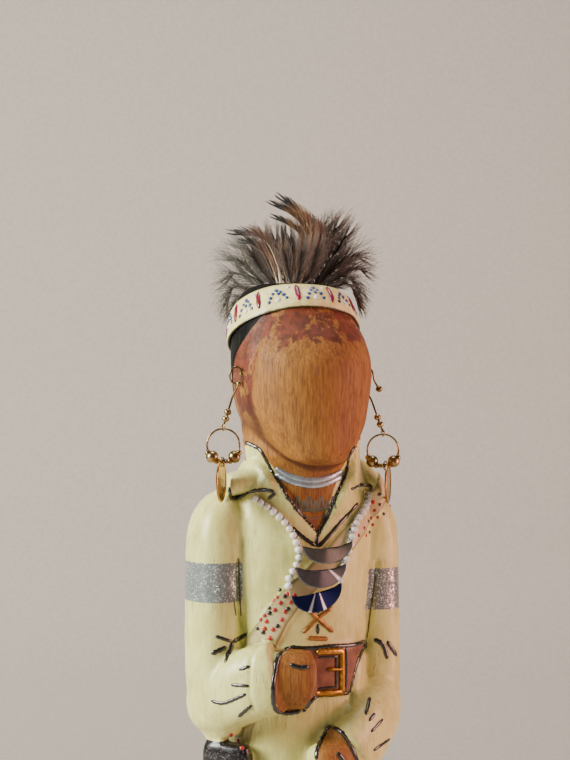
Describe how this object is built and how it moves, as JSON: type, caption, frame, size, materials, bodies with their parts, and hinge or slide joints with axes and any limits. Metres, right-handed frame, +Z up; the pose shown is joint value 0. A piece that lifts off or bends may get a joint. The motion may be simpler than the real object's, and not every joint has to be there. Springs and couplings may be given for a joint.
{
  "type": "faceless art doll",
  "caption": "carved and painted wooden folk figure without a face, with a feathered headband, earrings, beads and crescent gorgets, on a low base",
  "frame": {"origin": "centre of the base's underside", "axes": "+Z up, -Y the way the figure faces, -X its right hand"},
  "size_m": [0.096, 0.0665, 0.3342],
  "materials": {
    "painted_wood": "hand carved softwood, cream, black and brown craft paint, bare stained wood at head and hands",
    "plain_wood": "oiled softwood",
    "band_leather": "painted leather strip with glossy strokes and dots",
    "feather": "rust and golden hackle feathers with black tips",
    "down": "soft brown and grey feather down",
    "antique_brass": "aged wire and beads",
    "coin_brass": "stamped thin brass",
    "white_beads": "opaque white and silver-lined glass beads on thread",
    "mirror_plate": "dark mirror-polished thin plate with round brushing"
  },
  "bodies": {
    "root": {"carved_figure": "painted_wood", "base": "plain_wood", "headband": "band_leather", "feather_golden": "feather", "feather_pale": "feather", "feather_rust": "feather", "feather_brown": "down", "feather_fluff_right": "down", "feather_droop_right": "down", "feather_down_left": "down", "ear_hook_right": "antique_brass", "ear_hoop_right": "antique_brass", "ear_coin_right": "coin_brass", "ear_hook_left": "antique_brass", "ear_hoop_left": "antique_brass", "ear_coin_left": "coin_brass", "necklace_right_strand": "white_beads", "necklace_left_strand": "white_beads", "gorget_top": "mirror_plate", "gorget_middle": "mirror_plate", "gorget_bottom": "mirror_plate"}
  },
  "joints": []
}
